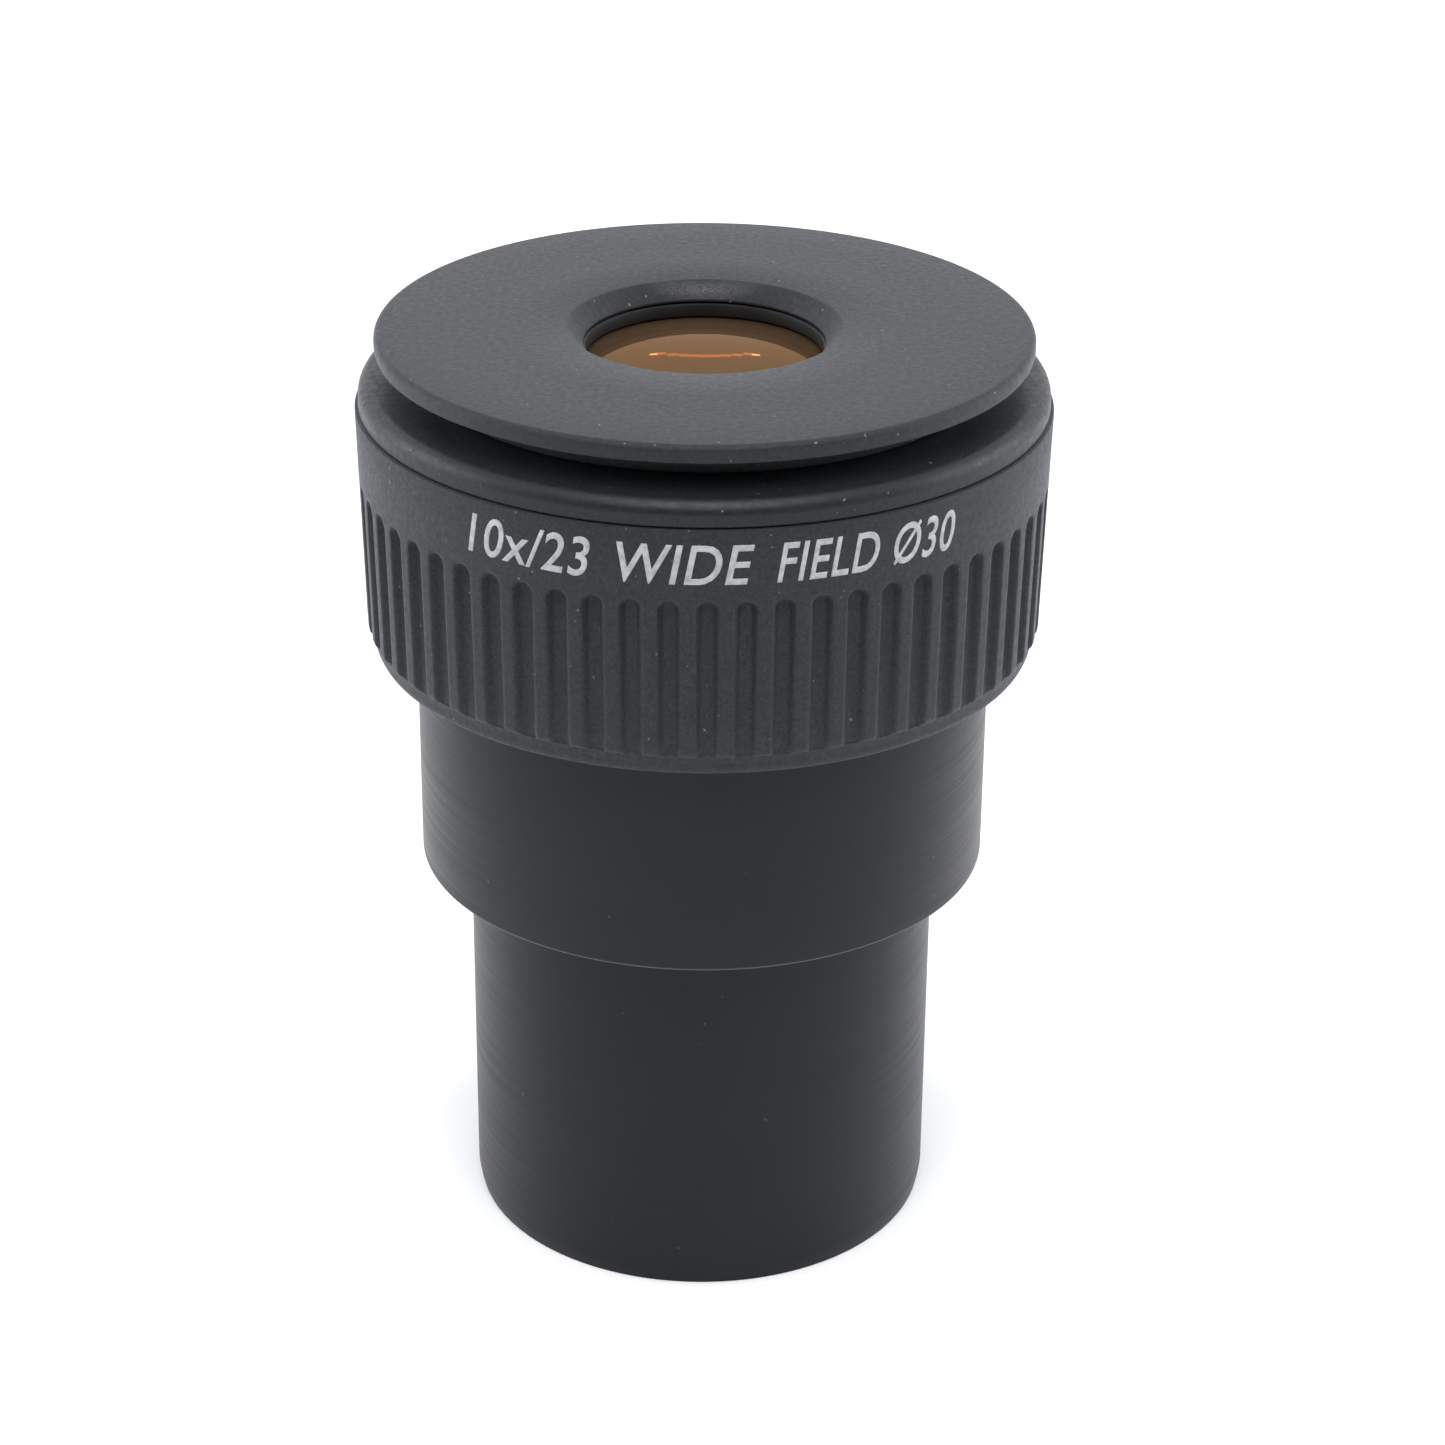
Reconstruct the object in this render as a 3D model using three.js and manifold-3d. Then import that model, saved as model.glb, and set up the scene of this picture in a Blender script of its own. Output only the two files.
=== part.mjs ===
// A 10x wide-field microscope eyepiece with a turning focus ring and a pull-up eyecup.
// Millimetres, +Z up. The optical axis is Z, and z = 0 is the lower end of the insertion tube.
// The front, where the engraving goes, faces -Y. Every piece is shown with the focus ring at mid travel
// and the eyecup pushed down.
import * as THREE from "three";
import { mergeVertices } from "three/addons/utils/BufferGeometryUtils.js";
import Module from "manifold-3d";

const wasm = await Module();
wasm.setup();

// ---------------------------------------------------------------- driving dimensions
// Insertion tube
const TUBE_RADIUS = 15.0;
const TUBE_LENGTH = 25.0;
const TUBE_WALL = 1.8;
const UPPER_BORE_STEP = 0.8;
const LEAD_IN_HEIGHT = 1.1;
const LEAD_IN_DEPTH = 0.2;
const SPIGOT_STEP = 0.8;
const SOCKET_DEPTH = 0.5;
const MOUTH_BREAK = 0.3;

// Body sleeve
const SLEEVE_STEP = 3.12;
const SLEEVE_WALL = 1.22;
const SLEEVE_SHOWN = 14.65;
const SLEEVE_EDGE = 0.15;

// Grip ring
const GRIP_HEIGHT = 15.75;
const GRIP_STEP = 3.37;
const GRIP_DRAFT = 0.33;
const GRIP_WALL = 2.09;
const GRIP_LIP_INSET = 0.72;
const GRIP_LIP_EDGE = 0.25;
const GRIP_LIP_CLEARANCE = 0.28;
const GRIP_LIP_FLARE = 0.03;
const GRIP_LEDGE_HEIGHT = 1.9;
const LAND_FOOT_HEIGHT = 1.2;
const LAND_FOOT_SLOPE = 0.5;
const LAND_FOOT_ROUND = 0.1;
const GROOVE_COUNT = 60;
const GROOVE_WIDTH = 0.95;
const GROOVE_DEPTH = 0.55;
const GROOVE_TOP_HEIGHT = 11.15;
const GROOVE_CORNER = 0.35;
const GROOVE_PHASE_DEG = 0.7;

// Ring cap and eyecup
const CAP_INSET = 0.22;
const CAP_HEIGHT = 1.65;
const CAP_ROUND = 0.75;
const CAP_LIP_HEIGHT = 0.7;
const CAP_LIP_WIDTH = 1.4;
const CAP_HOLE_CLEARANCE = 0.3;
const PARTING_BREAK = 0.12;
const FINGER_GAP = 1.85;
const PAD_INSET = 1.07;
const PAD_THICKNESS = 1.1;
const PAD_EDGE_ROUND = 0.42;
const PAD_FOOT_BREAK = 0.25;
const PAD_HOLE_MARGIN = 0.15;
const PAD_HOLE_FLARE = 1.1;
const PAD_HOLE_LAND = 0.12;
const PAD_HOLE_EASE = 0.2;
const CUP_TRAVEL = 7.0;
const SLIDER_WALL = 1.7;
const SLIDER_BEAD = 0.6;
const SLIDER_BEAD_HEIGHT = 1.0;
const NECK_WIDTH = 2.6;
const NECK_GAP = 0.15;

// Focusing movement: the ring rises by half of the travel to either side of the middle
const FOCUS_HALF_TRAVEL = 3.125;
const FLANGE_THICKNESS = 1.2;
const WASHER_THICKNESS = 0.3;
const RETAINING_THICKNESS = 0.7;
const STOP_RING_THICKNESS = 0.7;
const STOP_RING_WIDTH = 1.65;
const GUIDE_SCREW_RADIUS = 0.9;
const GUIDE_SCREW_SOCKET = 0.45;
const GUIDE_SOCKET_DEPTH = 0.8;
const GUIDE_SCREW_BITE = 0.75;

// Lens barrel and lenses
const BARREL_WALL = 2.25;
const POCKET_WALL = 1.5;
const POCKET_FLOOR = 1.2;
const SNOUT_GAP = 0.15;
const SNOUT_WALL = 3.1;
const EYE_SEAT_LIP = 0.95;
const EYE_SEAT_DEPTH = 9.3;
const EYE_RETAINER_LIP = 2.3;
const RETAINER_HEIGHT = 1.5;
const RETAINER_WIDTH = 1.9;
const LIGHT_CONE_FOOT = 1.35;
const LIGHT_CONE_WAIST = 2.95;
const LIGHT_CONE_TOP = 1.0;
const SPACER_HEIGHT = 3.4;
const SPACER_WIDTH = 1.2;
const FIELD_STOP_LIP = 1.7;
const FIELD_STOP_DROP = 10.0;
const FIELD_STOP_THICKNESS = 0.75;
const FIELD_STOP_EDGE = 0.15;
const FIELD_STOP_BEVEL = 0.6;
const O_RING_SECTION = 0.46;
const O_RING_DROP = 2.45;
const O_RING_GROOVE_DEPTH = 0.95;
const SPANNER_SLOT = 1.2;
const SPANNER_DEPTH = 0.6;
const SPANNER_HOLE_RADIUS = 0.5;

// Lens rims and the radii of curvature of their faces
const MIDDLE_LENS_RIM = 2.4;
const MIDDLE_TOP_BEND = -117;
const MIDDLE_BOTTOM_BEND = 70.8;
const FIELD_UPPER_RIM = 0.9;
const FIELD_LOWER_RIM = 3.5;
const FIELD_TOP_BEND = -81.5;
const FIELD_JOINT_BEND = 45;
const EYE_LOWER_RIM = 4.45;
const EYE_TOP_BEND = -32;
const EYE_JOINT_BEND = 18;

// Clearances
const RUNNING = 0.1;
const SEAT = 0.05;
const END_CLEARANCE = 0.3;
const CUT_CLEARANCE = 0.3;

// Facets round the axis
const OUTER_SIDES = 60;
const INNER_SIDES = 40;
const SMALL_SIDES = 32;

// ---------------------------------------------------------------- radii that follow
const sleeveRadius = TUBE_RADIUS + SLEEVE_STEP;
const sleeveBore = sleeveRadius - SLEEVE_WALL;
const gripRadius = sleeveRadius + GRIP_STEP;
const gripFootRadius = gripRadius - GRIP_DRAFT;
const gripLipRadius = gripRadius - GRIP_LIP_INSET;
const gripBore = gripRadius - GRIP_WALL;
const capRadius = gripRadius - CAP_INSET;
const padRadius = capRadius - PAD_INSET;

const tubeBore = TUBE_RADIUS - TUBE_WALL;
const upperTubeBore = tubeBore - UPPER_BORE_STEP;
const spigotRadius = TUBE_RADIUS - SPIGOT_STEP;
const fieldStopAperture = tubeBore - FIELD_STOP_LIP;

const barrelRadius = sleeveBore - RUNNING;
const flangeRadius = gripBore - 2 * RUNNING;
const lensBore = barrelRadius - BARREL_WALL;
const lensRadius = lensBore - SEAT;
const pocketRadius = barrelRadius - POCKET_WALL;
const beadRadius = pocketRadius - RUNNING;
const sliderRadius = beadRadius - SLIDER_BEAD;
const sliderBore = sliderRadius - SLIDER_WALL;
const snoutRadius = sliderBore - SNOUT_GAP;
const eyeLensBore = snoutRadius - SNOUT_WALL;
const eyeLensRadius = eyeLensBore - SEAT;
const eyeSeatBore = eyeLensBore - EYE_SEAT_LIP;
const eyeRetainerBore = eyeLensRadius - EYE_RETAINER_LIP;
const stopRingBore = sliderRadius + RUNNING;
const stopRingRadius = stopRingBore + STOP_RING_WIDTH;
const padHole = eyeRetainerBore + PAD_HOLE_MARGIN;

// ---------------------------------------------------------------- heights that follow
const shoulderZ = TUBE_LENGTH;
const socketZ = shoulderZ + SOCKET_DEPTH;
const gripBottomZ = shoulderZ + SLEEVE_SHOWN;
const gripLedgeZ = gripBottomZ + GRIP_LEDGE_HEIGHT;
const partingZ = gripBottomZ + GRIP_HEIGHT;
const capTopZ = partingZ + CAP_HEIGHT;
const padBottomZ = capTopZ + FINGER_GAP;
const padTopZ = padBottomZ + PAD_THICKNESS;

const capLipZ = partingZ - CAP_LIP_HEIGHT;
const retainingTopZ = capLipZ - RUNNING;
const retainingBottomZ = retainingTopZ - RETAINING_THICKNESS;
const flangeTopZ = retainingBottomZ - RUNNING;
const flangeBottomZ = flangeTopZ - FLANGE_THICKNESS;
const washerTopZ = flangeBottomZ - SEAT;
const washerBottomZ = washerTopZ - WASHER_THICKNESS;
const nutTopZ = washerBottomZ - SEAT;
const nutBottomZ = gripLedgeZ + SEAT;
const sleeveTopZ = washerBottomZ - FOCUS_HALF_TRAVEL - END_CLEARANCE;

const stopRingTopZ = flangeTopZ - SEAT;
const stopRingBottomZ = stopRingTopZ - STOP_RING_THICKNESS;
const beadTopZ = stopRingBottomZ - CUP_TRAVEL - SEAT;
const sliderBottomZ = beadTopZ - SLIDER_BEAD_HEIGHT;
const pocketFloorZ = sliderBottomZ - SEAT;
const sliderTopZ = padBottomZ - SEAT;
const snoutTopZ = padBottomZ - CUT_CLEARANCE / 2;
const eyeVertexZ = snoutTopZ - SEAT;
const eyeSeatZ = snoutTopZ - EYE_SEAT_DEPTH;
const oRingZ = snoutTopZ - O_RING_DROP;
const fieldStopSeatZ = shoulderZ - FIELD_STOP_DROP;

// ---------------------------------------------------------------- lens surfaces
// A surface is given by the height of its vertex and its radius of curvature. A positive radius has its
// centre above the vertex, so the surface rises towards its rim.
function surfaceZ(surface, r) {
  const bend = Math.abs(surface.radius);
  const rise = bend - Math.sqrt(bend * bend - r * r);
  return surface.vertexZ + Math.sign(surface.radius) * rise;
}

// The surface that has a given height at its rim.
function surfaceFromRim(rimZ, rimRadius, radius) {
  const flat = { vertexZ: 0, radius };
  return { vertexZ: rimZ - surfaceZ(flat, rimRadius), radius };
}

const middleTopRimZ = pocketFloorZ - POCKET_FLOOR - SEAT;
const middleBottomRimZ = middleTopRimZ - MIDDLE_LENS_RIM;
const fieldTopRimZ = middleBottomRimZ - SPACER_HEIGHT - 2 * SEAT;
const fieldJointRimZ = fieldTopRimZ - FIELD_UPPER_RIM;
const fieldBottomZ = fieldJointRimZ - FIELD_LOWER_RIM;
const lowerRetainerTopZ = fieldBottomZ - SEAT;
const lowerRetainerBottomZ = lowerRetainerTopZ - RETAINER_HEIGHT;
const barrelBottomZ = lowerRetainerBottomZ - END_CLEARANCE;
const sleeveFloorZ = barrelBottomZ - FOCUS_HALF_TRAVEL - END_CLEARANCE;

const eyeTop = { vertexZ: eyeVertexZ, radius: EYE_TOP_BEND };
const eyeJoint = surfaceFromRim(eyeSeatZ + EYE_LOWER_RIM, eyeLensRadius, EYE_JOINT_BEND);
const middleTop = surfaceFromRim(middleTopRimZ, lensRadius, MIDDLE_TOP_BEND);
const middleBottom = surfaceFromRim(middleBottomRimZ, lensRadius, MIDDLE_BOTTOM_BEND);
const fieldTop = surfaceFromRim(fieldTopRimZ, lensRadius, FIELD_TOP_BEND);
const fieldJoint = surfaceFromRim(fieldJointRimZ, lensRadius, FIELD_JOINT_BEND);

// ---------------------------------------------------------------- shape helpers
// Turns a closed outline of [radius, height] points, given anticlockwise, round the Z axis.
function turned(outline, sides = INNER_SIDES, startDeg = 0) {
  const points = outline.map(([r, z]) => new THREE.Vector2(r, z));
  const onAxis = outline[0][0] === 0;
  if (!onAxis) points.push(points[0].clone());
  const start = THREE.MathUtils.degToRad(startDeg);
  return new THREE.LatheGeometry(points, sides, start).rotateX(Math.PI / 2);
}

// Points on an elliptic quarter or other arc, angles in degrees, in the outline's plane.
function arc(centreR, centreZ, radiusR, radiusZ, fromDeg, toDeg, steps) {
  return Array.from({ length: steps + 1 }, (_, i) => {
    const angle = THREE.MathUtils.degToRad(fromDeg + ((toDeg - fromDeg) * i) / steps);
    return [centreR + radiusR * Math.cos(angle), centreZ + radiusZ * Math.sin(angle)];
  });
}

// The points of a lens surface from the axis out to its rim.
function surfacePoints(surface, rimRadius, shift = 0, steps = 3) {
  return Array.from({ length: steps + 1 }, (_, i) => {
    const r = (rimRadius * i) / steps;
    return [r, surfaceZ(surface, r) + shift];
  });
}

function lens(bottomPoints, topPoints) {
  return turned([...bottomPoints, ...[...topPoints].reverse()], SMALL_SIDES);
}

function flatSurface(z, rimRadius) {
  return [
    [0, z],
    [rimRadius, z],
  ];
}

function plainRing(innerRadius, outerRadius, bottomZ, topZ, sides = SMALL_SIDES) {
  return turned(
    [
      [innerRadius, bottomZ],
      [outerRadius, bottomZ],
      [outerRadius, topZ],
      [innerRadius, topZ],
    ],
    sides,
  );
}

function toSolid(geometry) {
  const bare = geometry.clone();
  bare.deleteAttribute("normal");
  bare.deleteAttribute("uv");
  const merged = mergeVertices(bare, 1e-4);
  return new wasm.Manifold(
    new wasm.Mesh({
      numProp: 3,
      vertProperties: merged.attributes.position.array,
      triVerts: new Uint32Array(merged.index.array),
    }),
  );
}

function toGeometry(solid) {
  const mesh = solid.getMesh();
  const geometry = new THREE.BufferGeometry();
  geometry.setAttribute("position", new THREE.BufferAttribute(mesh.vertProperties, 3));
  geometry.setIndex(new THREE.BufferAttribute(mesh.triVerts, 1));
  return geometry;
}

// Cuts every tool geometry out of the blank.
function cut(blank, tools) {
  const solid = tools.reduce((left, tool) => left.subtract(toSolid(tool)), toSolid(blank));
  return toGeometry(solid);
}

// A box given by its sizes, centred on a point.
function block(sizeX, sizeY, sizeZ, x, y, z) {
  return new THREE.BoxGeometry(sizeX, sizeY, sizeZ).translate(x, y, z);
}

// A round bar along +Y, from one distance from the axis to another, at height z.
function radialBar(radius, fromY, toY, z, sides = 16) {
  const bar = new THREE.CylinderGeometry(radius, radius, toY - fromY, sides);
  return bar.translate(0, (fromY + toY) / 2, z);
}

// ---------------------------------------------------------------- tube assembly
function insertionTube() {
  const spigotTop = sleeveFloorZ - SEAT / 2;
  return turned(
    [
      [tubeBore + MOUTH_BREAK, 0],
      [TUBE_RADIUS - LEAD_IN_DEPTH, 0],
      [TUBE_RADIUS, LEAD_IN_HEIGHT],
      [TUBE_RADIUS, socketZ - SEAT],
      [spigotRadius, socketZ - SEAT],
      [spigotRadius, spigotTop],
      [upperTubeBore, spigotTop],
      [upperTubeBore, fieldStopSeatZ],
      [tubeBore, fieldStopSeatZ],
      [tubeBore, MOUTH_BREAK],
    ],
    OUTER_SIDES,
  );
}

// The screw sits just high enough for the grip ring to cover it over the whole travel.
const guideHoleRadius = GUIDE_SCREW_RADIUS + CUT_CLEARANCE;
const guideScrewZ = gripBottomZ + FOCUS_HALF_TRAVEL + guideHoleRadius + SEAT;
const guideScrewTipY = barrelRadius - GUIDE_SCREW_BITE;

// The tube sits in a shallow socket, so that the sleeve's lower face is left flat right up to it.
function bodySleeve() {
  const blank = turned(
    [
      [TUBE_RADIUS + RUNNING, shoulderZ],
      [sleeveRadius - SLEEVE_EDGE, shoulderZ],
      [sleeveRadius, shoulderZ + SLEEVE_EDGE],
      [sleeveRadius, sleeveTopZ - END_CLEARANCE],
      [sleeveRadius - END_CLEARANCE, sleeveTopZ],
      [sleeveBore, sleeveTopZ],
      [sleeveBore, sleeveFloorZ],
      [spigotRadius + RUNNING, sleeveFloorZ],
      [spigotRadius + RUNNING, socketZ],
      [TUBE_RADIUS + RUNNING, socketZ],
    ],
    OUTER_SIDES,
  );
  return cut(blank, [radialBar(guideHoleRadius, sleeveBore - 1, sleeveRadius + 1, guideScrewZ)]);
}

function guideScrew() {
  const headY = sleeveRadius - RUNNING - SEAT;
  const blank = radialBar(GUIDE_SCREW_RADIUS, guideScrewTipY, headY, guideScrewZ);
  const socket = radialBar(GUIDE_SCREW_SOCKET, headY - GUIDE_SOCKET_DEPTH, headY + 1, guideScrewZ, 6);
  return cut(blank, [socket]);
}

function fieldStop() {
  const top = fieldStopSeatZ - SEAT;
  const bottom = top - FIELD_STOP_THICKNESS;
  return turned(
    [
      [fieldStopAperture + FIELD_STOP_BEVEL, bottom],
      [tubeBore - RUNNING, bottom],
      [tubeBore - RUNNING, top],
      [fieldStopAperture, top],
      [fieldStopAperture, top - FIELD_STOP_EDGE],
    ],
    SMALL_SIDES,
  );
}

function fieldStopRetainer() {
  const top = fieldStopSeatZ - 2 * SEAT - FIELD_STOP_THICKNESS;
  const bottom = top - RETAINER_HEIGHT;
  const outer = tubeBore - RUNNING;
  const blank = plainRing(fieldStopAperture + FIELD_STOP_BEVEL, outer, bottom, top);
  return cut(blank, [block(2 * outer + 2, SPANNER_SLOT, 2 * SPANNER_DEPTH, 0, 0, bottom)]);
}

// ---------------------------------------------------------------- eye barrel
function lensBarrel() {
  const shoulderUnderZ = pocketFloorZ - POCKET_FLOOR;
  const grooveHalf = O_RING_SECTION + 2 * SEAT;
  const grooveRadius = snoutRadius - O_RING_GROOVE_DEPTH;
  const blank = turned([
    [lensBore, barrelBottomZ],
    [barrelRadius - SLEEVE_EDGE, barrelBottomZ],
    [barrelRadius, barrelBottomZ + SLEEVE_EDGE],
    [barrelRadius, flangeBottomZ],
    [flangeRadius, flangeBottomZ],
    [flangeRadius, flangeTopZ],
    [stopRingRadius + SEAT, flangeTopZ],
    [stopRingRadius + SEAT, stopRingBottomZ - SEAT],
    [pocketRadius, stopRingBottomZ - SEAT],
    [pocketRadius, pocketFloorZ],
    [snoutRadius, pocketFloorZ],
    [snoutRadius, oRingZ - grooveHalf],
    [grooveRadius, oRingZ - grooveHalf],
    [grooveRadius, oRingZ + grooveHalf],
    [snoutRadius, oRingZ + grooveHalf],
    [snoutRadius, snoutTopZ],
    [eyeLensBore, snoutTopZ],
    [eyeLensBore, eyeSeatZ - SEAT],
    [eyeSeatBore, eyeSeatZ - SEAT],
    [eyeSeatBore, eyeSeatZ - LIGHT_CONE_TOP],
    [lensBore - LIGHT_CONE_WAIST, shoulderUnderZ + POCKET_FLOOR * 0.7],
    [lensBore - LIGHT_CONE_FOOT, shoulderUnderZ + POCKET_FLOOR * 0.2],
    [lensBore, shoulderUnderZ],
  ]);
  const slotHalfWidth = GUIDE_SCREW_RADIUS + 1.5 * RUNNING;
  const slotDepth = GUIDE_SCREW_BITE + 1.5 * RUNNING;
  const slotHeight = 2 * (FOCUS_HALF_TRAVEL + slotHalfWidth);
  const slotY = barrelRadius - slotDepth + 1;
  const slot = block(2 * slotHalfWidth, 2, slotHeight, 0, slotY, guideScrewZ);
  return cut(blank, [slot]);
}

function lensSpacer() {
  const inner = lensRadius - SPACER_WIDTH;
  return turned(
    [
      [inner, surfaceZ(fieldTop, inner) + SEAT],
      [lensRadius, fieldTopRimZ + SEAT],
      [lensRadius, middleBottomRimZ - SEAT],
      [inner, surfaceZ(middleBottom, inner) - SEAT],
    ],
    SMALL_SIDES,
  );
}

function fieldLensRetainer() {
  const inner = lensRadius - RETAINER_WIDTH;
  const blank = plainRing(inner, lensRadius, lowerRetainerBottomZ, lowerRetainerTopZ);
  const slot = block(2 * lensRadius + 2, SPANNER_SLOT, 2 * SPANNER_DEPTH, 0, 0, lowerRetainerBottomZ);
  return cut(blank, [slot]);
}

function eyeLensRetainer() {
  const lipUnder = surfaceZ(eyeTop, eyeRetainerBore) + 2 * SEAT;
  const rimUnder = surfaceZ(eyeTop, eyeLensRadius) + 2 * SEAT;
  const blank = turned(
    [
      [eyeRetainerBore, lipUnder],
      [eyeLensRadius, rimUnder],
      [eyeLensRadius, snoutTopZ],
      [eyeRetainerBore, snoutTopZ],
    ],
    INNER_SIDES,
  );
  const holeX = (eyeRetainerBore + eyeLensRadius) / 2;
  const hole = new THREE.CylinderGeometry(SPANNER_HOLE_RADIUS, SPANNER_HOLE_RADIUS, 1, 10);
  hole.rotateX(Math.PI / 2).translate(0, 0, snoutTopZ);
  return cut(blank, [hole.clone().translate(holeX, 0, 0), hole.clone().translate(-holeX, 0, 0)]);
}

function frictionRing() {
  const centreR = sliderBore - O_RING_SECTION - SEAT;
  const section = arc(centreR, oRingZ, O_RING_SECTION, O_RING_SECTION, 0, 360, 8);
  return turned(section.slice(0, -1), SMALL_SIDES);
}

// ---------------------------------------------------------------- focus ring
function gripRing() {
  const footZ = gripBottomZ + LAND_FOOT_HEIGHT;
  const blank = turned(
    [
      [sleeveRadius + GRIP_LIP_CLEARANCE, gripBottomZ],
      [gripLipRadius - GRIP_LIP_EDGE, gripBottomZ],
      [gripLipRadius, gripBottomZ + 2 * GRIP_LIP_EDGE],
      [gripLipRadius + GRIP_LIP_FLARE, footZ],
      [gripFootRadius - LAND_FOOT_ROUND, footZ + LAND_FOOT_SLOPE / 2],
      [gripFootRadius, footZ + 2 * LAND_FOOT_SLOPE],
      [gripRadius, partingZ - PARTING_BREAK],
      [gripRadius - PARTING_BREAK, partingZ],
      [gripBore, partingZ],
      [gripBore, gripLedgeZ],
      [sleeveRadius + GRIP_LIP_CLEARANCE, gripLedgeZ],
    ],
    GROOVE_COUNT,
    GROOVE_PHASE_DEG,
  );
  // Each groove has a rounded top end and runs out below into the narrower lip.
  const half = GROOVE_WIDTH / 2;
  const topZ = gripBottomZ + GROOVE_TOP_HEIGHT;
  const cornerZ = topZ - GROOVE_CORNER;
  const outline = new THREE.Shape();
  outline.moveTo(-half, gripBottomZ - 1);
  outline.lineTo(half, gripBottomZ - 1);
  outline.lineTo(half, cornerZ);
  outline.quadraticCurveTo(half, topZ, 0, topZ);
  outline.quadraticCurveTo(-half, topZ, -half, cornerZ);
  const options = { depth: 2, bevelEnabled: false, curveSegments: 2 };
  const floorRadius = gripFootRadius - GROOVE_DEPTH + GRIP_DRAFT / 2;
  const tool = new THREE.ExtrudeGeometry(outline, options).rotateX(Math.PI / 2).translate(0, -floorRadius, 0);
  const step = (2 * Math.PI) / GROOVE_COUNT;
  const phase = THREE.MathUtils.degToRad(GROOVE_PHASE_DEG);
  const tools = Array.from({ length: GROOVE_COUNT }, (_, i) => tool.clone().rotateZ(phase + i * step));
  return cut(blank, tools);
}

function thrustRetainingRing() {
  const inner = stopRingRadius + 5 * RUNNING;
  const blank = plainRing(inner, gripBore - SEAT, retainingBottomZ, retainingTopZ, INNER_SIDES);
  const notch = block(2 * inner + 2, SPANNER_SLOT, 4, 0, 0, retainingTopZ);
  return cut(blank, [notch]);
}

function ringCap() {
  const lipOuter = gripBore - 2 * RUNNING;
  const underZ = partingZ + SEAT;
  const hole = sliderRadius + CAP_HOLE_CLEARANCE;
  return turned(
    [
      [hole, underZ],
      [lipOuter - CAP_LIP_WIDTH, underZ],
      [lipOuter - CAP_LIP_WIDTH, capLipZ],
      [lipOuter, capLipZ],
      [lipOuter, underZ],
      [capRadius - PARTING_BREAK, underZ],
      [capRadius, underZ + PARTING_BREAK],
      ...arc(capRadius - CAP_ROUND, capTopZ - CAP_ROUND, CAP_ROUND, CAP_ROUND, 0, 90, 3),
      [hole + END_CLEARANCE, capTopZ],
      [hole, capTopZ - END_CLEARANCE],
    ],
    OUTER_SIDES,
  );
}

// ---------------------------------------------------------------- eyecup
function eyecupPad() {
  const flareTopR = padHole + PAD_HOLE_FLARE;
  const flareFootZ = padBottomZ + PAD_HOLE_LAND;
  return turned(
    [
      [padHole, padBottomZ],
      [padRadius - PAD_FOOT_BREAK, padBottomZ],
      [padRadius, padBottomZ + PAD_FOOT_BREAK],
      ...arc(padRadius - PAD_EDGE_ROUND, padTopZ - PAD_EDGE_ROUND, PAD_EDGE_ROUND, PAD_EDGE_ROUND, 0, 90, 2),
      [flareTopR, padTopZ],
      [flareTopR - PAD_HOLE_EASE, padTopZ - PAD_HOLE_EASE / 2],
      [padHole, flareFootZ],
    ],
    OUTER_SIDES,
  );
}

function eyecupSlider() {
  const neckBottomZ = capTopZ + NECK_GAP;
  return turned([
    [sliderBore, sliderBottomZ],
    [beadRadius, sliderBottomZ],
    [beadRadius, beadTopZ],
    [sliderRadius, beadTopZ],
    [sliderRadius, neckBottomZ],
    [sliderRadius + NECK_WIDTH, neckBottomZ],
    [sliderRadius + NECK_WIDTH, sliderTopZ],
    [sliderBore, sliderTopZ],
  ]);
}

// ---------------------------------------------------------------- finishes
function finish(color, roughness, metalness) {
  return new THREE.MeshStandardMaterial({ color, roughness, metalness });
}

const blackAnodised = finish(0x17191c, 0.42, 0.6);
const blackGrip = finish(0x2a2c2f, 0.75, 0.0);
const blackMoulded = finish(0x34363a, 0.7, 0.0);
const blackInner = finish(0x0b0b0c, 0.85, 0.2);
const rubber = finish(0x1a1a1a, 0.9, 0.0);
const brass = finish(0xb08d4a, 0.35, 1.0);
const steel = finish(0x3a3c40, 0.35, 1.0);
const slipPlastic = finish(0xd8d4c8, 0.5, 0.0);
const coatedGlass = new THREE.MeshStandardMaterial({
  color: 0x9a7d55,
  roughness: 0.05,
  metalness: 0.0,
  transparent: true,
  opacity: 0.45,
});

// ---------------------------------------------------------------- assembly
const eyepiece = new THREE.Group();

function addBody(bodyName, pieces) {
  const body = new THREE.Group();
  body.name = bodyName;
  for (const [name, geometry, material] of pieces) {
    const mesh = new THREE.Mesh(geometry, material);
    mesh.name = name;
    body.add(mesh);
  }
  eyepiece.add(body);
}

addBody("tube_assembly", [
  ["insertion_tube", insertionTube(), blackAnodised],
  ["body_sleeve", bodySleeve(), blackAnodised],
  ["field_stop", fieldStop(), blackInner],
  ["field_stop_retainer", fieldStopRetainer(), blackInner],
  ["guide_screw", guideScrew(), steel],
]);

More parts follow.
